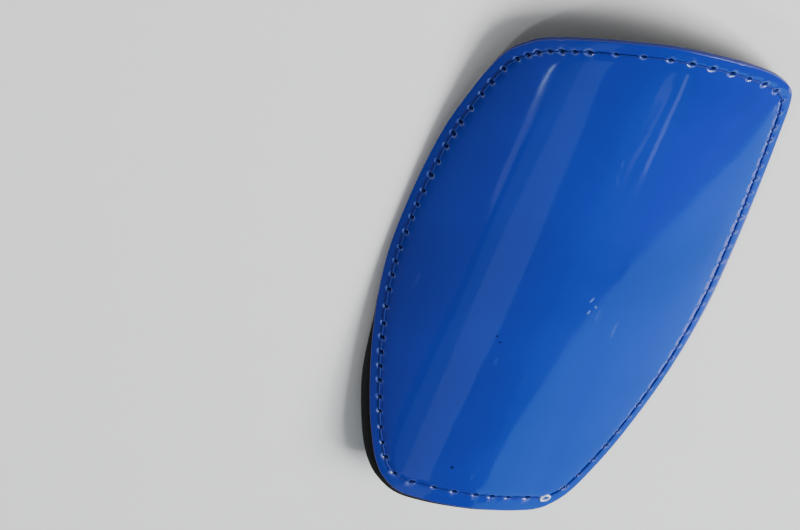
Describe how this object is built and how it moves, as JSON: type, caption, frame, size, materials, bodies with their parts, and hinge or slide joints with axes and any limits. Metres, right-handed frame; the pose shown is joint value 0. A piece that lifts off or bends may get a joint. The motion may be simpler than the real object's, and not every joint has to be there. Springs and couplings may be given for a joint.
{
  "type": "football shin guard",
  "caption": "Slip-in football shin guard: a bent glossy blue plastic shell sewn to a thin black foam pad, domed at the wide end.",
  "frame": {"origin": "middle of the bounding box at the floor that the guard lies on", "axes": "+Y along the shin towards the wide upper end, +Z out of the convex face, +X across the shin"},
  "size_m": [0.089, 0.2028, 0.0152],
  "materials": {
    "shell": "gloss",
    "pad": "matt"
  },
  "bodies": {
    "root": {"shell": "shell", "backing_pad": "pad"}
  },
  "joints": []
}
